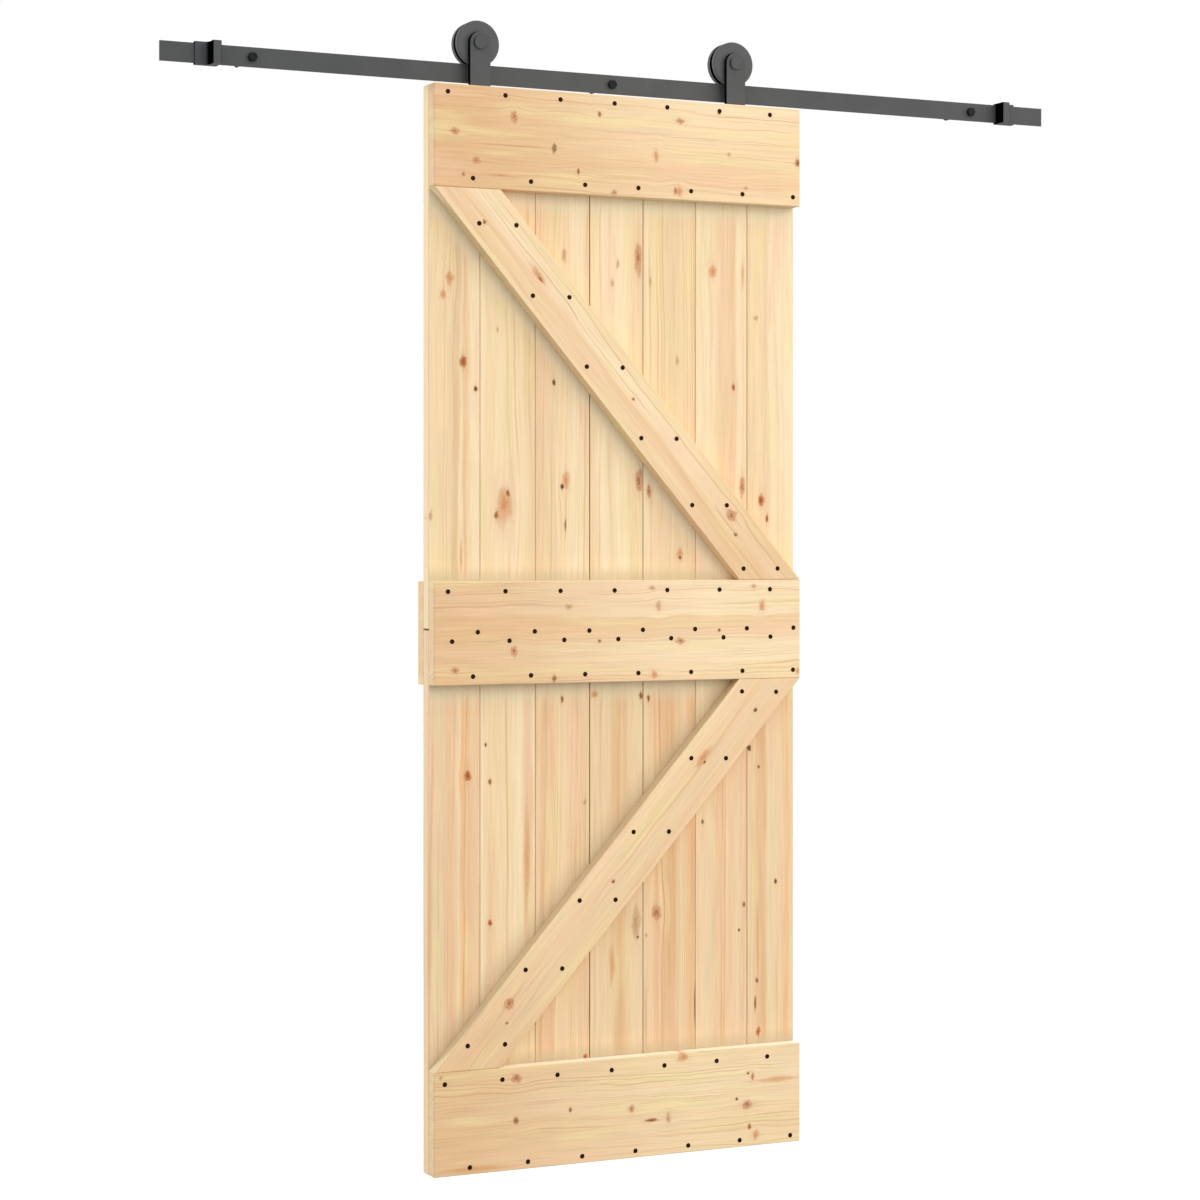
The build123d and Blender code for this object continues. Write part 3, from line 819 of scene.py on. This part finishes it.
# Planks: grain upright. The cut of each board is its ring width, where the log's heart lay beside
# and behind the board, how the log leaned, and how far its rings wander, in millimetres. Each row has
# its own depth of latewood lines, first seed of grain, and rails above and below it. The joints hold
# more or less dirt, from left to right.
UPRIGHT = math.radians(90)
LEVEL = 0.0
PLANK_CUTS = (
    (6.0, -70, 95, 0.010, 12),
    (7.0, 40, 130, -0.008, 14),
    (5.5, 95, 80, 0.012, 12),
    (8.0, -30, 140, 0.006, 14),
    (6.5, 85, 60, -0.010, 12),
    (7.5, -95, 110, 0.008, 14),
    (6.0, 20, 120, -0.012, 12),
)
PLANK_LINES = {"upper": 0.5, "lower": 0.75}
JOINT_DEPTHS = (0.1, 0.1, 0.7, 0.35, 0.1, 0.15)
PLANK_ROWS = {"upper": (3.0, "top_rail", "middle_rail"), "lower": (41.0, "middle_rail", "bottom_rail")}
PLANK_SEED_STEP = 2.7
for row, (first_seed, rail_above, rail_below) in PLANK_ROWS.items():
    # Painted light and shade on the planks beside the battens
    painted_shading = painted_shading_edges(rail_above, rail_below, f"{row}_brace")
    for number, cut in enumerate(PLANK_CUTS, start=1):
        node = f"{row}_plank_{number}"
        low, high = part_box(node)
        flipped = [(1 - share, tone) for share, tone in reversed(PLANK_BANDS[node])]
        joints = []
        if number > 1:
            joints.append((low.x, JOINT_DEPTHS[number - 2]))
        if number < len(PLANK_CUTS):
            joints.append((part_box(f"{row}_plank_{number + 1}")[0].x, JOINT_DEPTHS[number - 1]))
        seed = first_seed + PLANK_SEED_STEP * number
        lines = PLANK_LINES[row]
        dress(node, pine_board(node, UPRIGHT, high.x - low.x, flipped, seed, cut, lines, joints, painted_shading))

# Rails and braces: grain along the board. Beside its cut, each has a ruddy end: how strong that is,
# and where along the board, in metres from its middle, it is full and gone.
RAIL_CUTS = {
    "top_rail": ((4.8, -130, 70, 0.016, 30), (1.0, -0.42, 0.2)),
    "middle_rail": ((4.6, 140, 70, -0.01, 26), (0.8, -0.42, 0.2)),
    "bottom_rail": ((5.0, 135, 60, 0.014, 28), (0.8, -0.42, 0.2)),
    "back_middle_rail": ((4.8, -60, 80, 0.012, 34), (0.8, -0.42, 0.2)),
}
RAIL_LINES = 0.75
RAIL_SEED, RAIL_SEED_STEP = 70.0, 5.3
for number, (node, (cut, ruddy)) in enumerate(RAIL_CUTS.items()):
    low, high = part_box(node)
    seed = RAIL_SEED + RAIL_SEED_STEP * number
    bands = RAIL_BANDS[node]
    dress(node, pine_board(node, LEVEL, high.z - low.z, bands, seed, cut, RAIL_LINES, ruddy=ruddy))

BRACE_CUTS = {
    "upper_brace": ((4.8, -25, 75, 0.012, 26), (0.5, 0.42, 0.15)),
    "lower_brace": ((5.0, 30, 65, -0.01, 26), (0.5, -0.5, -0.2)),
}
BRACE_SEED, BRACE_SEED_STEP = 95.0, 6.1
for number, (node, (cut, ruddy)) in enumerate(BRACE_CUTS.items()):
    _, lean, width = brace_lie(node)
    seed = BRACE_SEED + BRACE_SEED_STEP * number
    # The lower brace's sloping upper side gets painted shade
    slope = brace_left(node) if BRACE_SLOPES[node] > 0 else None
    bands = RAIL_BANDS[node]
    dress(node, pine_board(node, lean, width, bands, seed, cut, RAIL_LINES, ruddy=ruddy, slope=slope))

# Steel: one coat for plain pieces, and coats of their own with painted shade, black on the sides of the
# end stops, axle bolts and straps and in the wheels' grooves; the wheels' coat is also painted lighter
coat = powder_coat("powder_coated_steel", *COAT_GREY)
# Painted shade: black on the end stops' and axle bolts' sides
soft_side_shaded_coat = powder_coat("powder_coated_steel_soft_painted_shade", *COAT_GREY, side_turn=SOFT_SIDE_SHADE_TURN)
side_shaded_coat = powder_coat("powder_coated_steel_painted_shade", *COAT_GREY, side_turn=SIDE_SHADE_TURN)
bolt_steel = black_oxide("black_oxide_steel", *BOLT_BLACK)
nail_steel = black_oxide("blackened_nail_steel", *NAIL_BLACK)
for node in ["track_rail"] + [f"{side}_spacer" for side in BOLT_SIDES]:
    dress(node, coat)
for side in SIDES:
    for piece in ("axle_collar", "axle_nut"):
        dress(f"{side}_{piece}", coat)
    dress(f"{side}_end_stop", soft_side_shaded_coat)
    dress(f"{side}_axle_bolt", side_shaded_coat)
    strap = f"{side}_hanger_strap"
    low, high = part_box(strap)
    half_width = (high.x - low.x) / 2
    # Painted shade: a black line along the strap's left arris, and black where it turns to the side
    arris = (((low.x + high.x) / 2, low.y, high.z - half_width), half_width, ARRIS_REACH)
    dress(strap, powder_coat(f"powder_coated_{strap}", *COAT_GREY, side_turn=SIDE_SHADE_TURN, arris=arris))
    # The wheel's grey is painted lighter, as painted light, and its groove is painted black, as painted
    # shade
    low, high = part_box(f"{side}_wheel")
    groove = ((low + high) / 2, GROOVE_HALF_WIDTH, (high.z - low.z) / 2 - GROOVE_LIP)
    dress(f"{side}_wheel", powder_coat(f"powder_coated_{side}_wheel", *WHEEL_PAINTED_LIGHT_GREY, groove=groove))
for side in BOLT_SIDES:
    dress(f"{side}_lag_bolt", bolt_steel)

# Nails stand in two staggered rows near each rail's edges and in four rows on the middle rail: places
# along the rail, their shift and the row's height. Along each brace they stand in pairs: how much
# higher a pair's right nail is, and the places of the left ones.
OUTER_ROW = (29, 149, 266, 383, 499, 616, 731)
INNER_ROW = (81, 203, 319, 435, 552, 668, 784)
UPPER_MIDDLE_ROW = (91, 211, 328, 445, 561, 678, 785)
LOWER_MIDDLE_ROW = (37.5, 157.5, 274, 391, 507.5, 625, 732)
BOTTOM_SHIFT = -6.5
RAIL_NAILS = {
    "top_rail": ((OUTER_ROW, 0, 2084.5), (INNER_ROW, 0, 1920.5)),
    "middle_rail": (
        (OUTER_ROW, 0, 1123.5),
        (UPPER_MIDDLE_ROW, 0, 1045),
        (LOWER_MIDDLE_ROW, 0, 1027.5),
        (INNER_ROW, 0, 959.5),
    ),
    "bottom_rail": ((OUTER_ROW, BOTTOM_SHIFT, 177.5), (INNER_ROW, BOTTOM_SHIFT, 13.5)),
}
BRACE_NAIL_GAP = 78
BRACE_NAILS = {
    "upper_brace": (
        0, ((94, 1834), (207, 1698.5), (322.5, 1563.5), (441.5, 1425), (554.5, 1293), (670.5, 1165.5))
    ),
    "lower_brace": (
        -2.5, ((667, 918), (552.5, 787), (424.5, 645), (307, 515.5), (191.5, 387), (70, 248))
    ),
}
for rail, rows in RAIL_NAILS.items():
    places = [(x + shift, height) for row, shift, height in rows for x in row]
    nail_heads(f"{rail}_nails", places, nail_steel)
for brace, (step, pairs) in BRACE_NAILS.items():
    places = [spot for x, z in pairs for spot in ((x, z), (x + BRACE_NAIL_GAP, z + step))]
    nail_heads(f"{brace}_nails", places, nail_steel)
for side in SIDES:
    strap_screws(side, bolt_steel)


def seen_white(put):
    """1 for what the camera sees, straight or in metal and glass, and 0 for light on the object."""
    path = put("LightPath").outputs
    seen = put("Math", path["Is Camera Ray"], path["Is Glossy Ray"], operation="MAXIMUM")
    return put("Math", seen, path["Is Transmission Ray"], operation="MAXIMUM")


def pale_floor():
    """White floor paint, matt. To the camera it glows towards white with distance, so that it ends in
    the white background, and near the door it still takes the door's soft shadow."""
    material, tree, shader = new_material("pale_floor_paint")
    put = functools.partial(add, tree)
    shader.inputs["Roughness"].default_value = FLOOR_ROUGHNESS
    shader.inputs["Specular IOR Level"].default_value = 0.0
    seen = seen_white(put)
    paint = put(
        "Mix",
        into={"Factor_Float": seen, "A_Color": linear(FLOOR_BOUNCE), "B_Color": linear(FLOOR_SEEN)},
        data_type="RGBA",
    )
    tree.links.new(live_output(paint), shader.inputs["Base Color"])
    flat_place = put("VectorMath", put("TexCoord").outputs["Object"], [1.0, 1.0, 0.0], operation="MULTIPLY")
    distance = put("VectorMath", flat_place, operation="LENGTH").outputs["Value"]
    glow = put("MapRange", distance, *FLOOR_FADE, FLOOR_GLOW, 1.0, interpolation_type="SMOOTHSTEP")
    white = put("Emission", into={"Strength": 1.0})
    share = put("Math", glow, seen, operation="MULTIPLY")
    add(tree, "OutputMaterial", put("MixShader", share, shader, white), is_active_output=True)
    return material


def camera_and_light():
    """The photograph's camera, a white world, two large soft lamps and a pale floor."""
    scene = bpy.context.scene
    scene.view_settings.view_transform = "Standard"
    lens = bpy.data.cameras.new("camera")
    lens.sensor_width = SENSOR
    lens.lens = FOCAL_PIXELS / PICTURE * SENSOR
    lens.shift_y = (HORIZON_ROW - PICTURE / 2) / PICTURE
    camera = bpy.data.objects.new("camera", lens)
    camera.location = CAMERA_PLACE
    camera.rotation_euler = (math.radians(90), 0, CAMERA_TURN)
    scene.collection.objects.link(camera)
    scene.camera = camera

    for name, (power, tint, size, distance, direction) in LAMPS.items():
        lamp = bpy.data.lights.new(name, "AREA")
        lamp.energy = power
        lamp.color = linear(tint)[:3]
        lamp.shape = "RECTANGLE"
        lamp.size, lamp.size_y = size
        stand = bpy.data.objects.new(name, lamp)
        stand.location = LAMP_AIM + direction.normalized() * distance
        stand.rotation_euler = direction.to_track_quat("Z", "Y").to_euler()
        scene.collection.objects.link(stand)

    world = bpy.data.worlds.new("white_studio")
    world.use_nodes = True
    scene.world = world
    tree = world.node_tree
    tree.nodes.clear()
    put = functools.partial(add, tree)
    height = put("SeparateXYZ", put("TexCoord").outputs["Generated"]).outputs["Z"]
    level = put("MapRange", height, 0.0, 1.0, HORIZON_LEVEL, SKY_LEVEL)
    lit = put("Background", into={"Strength": level})
    shown = put("Background", into={"Strength": 1.0})
    lit.inputs["Color"].default_value = linear(SKY_TINT)
    shown.inputs["Color"].default_value = (1.0, 1.0, 1.0, 1.0)
    put("OutputWorld", put("MixShader", seen_white(put), lit, shown))

    mesh = bmesh.new()
    floor_place = Matrix.Translation((0, 0, DOOR_BOTTOM - FLOOR_GAP))
    bmesh.ops.create_grid(mesh, x_segments=1, y_segments=1, size=FLOOR_REACH, matrix=floor_place)
    data = bpy.data.meshes.new("floor")
    mesh.to_mesh(data)
    mesh.free()
    data.materials.append(pale_floor())
    floor = bpy.data.objects.new("floor", data)
    scene.collection.objects.link(floor)


camera_and_light()
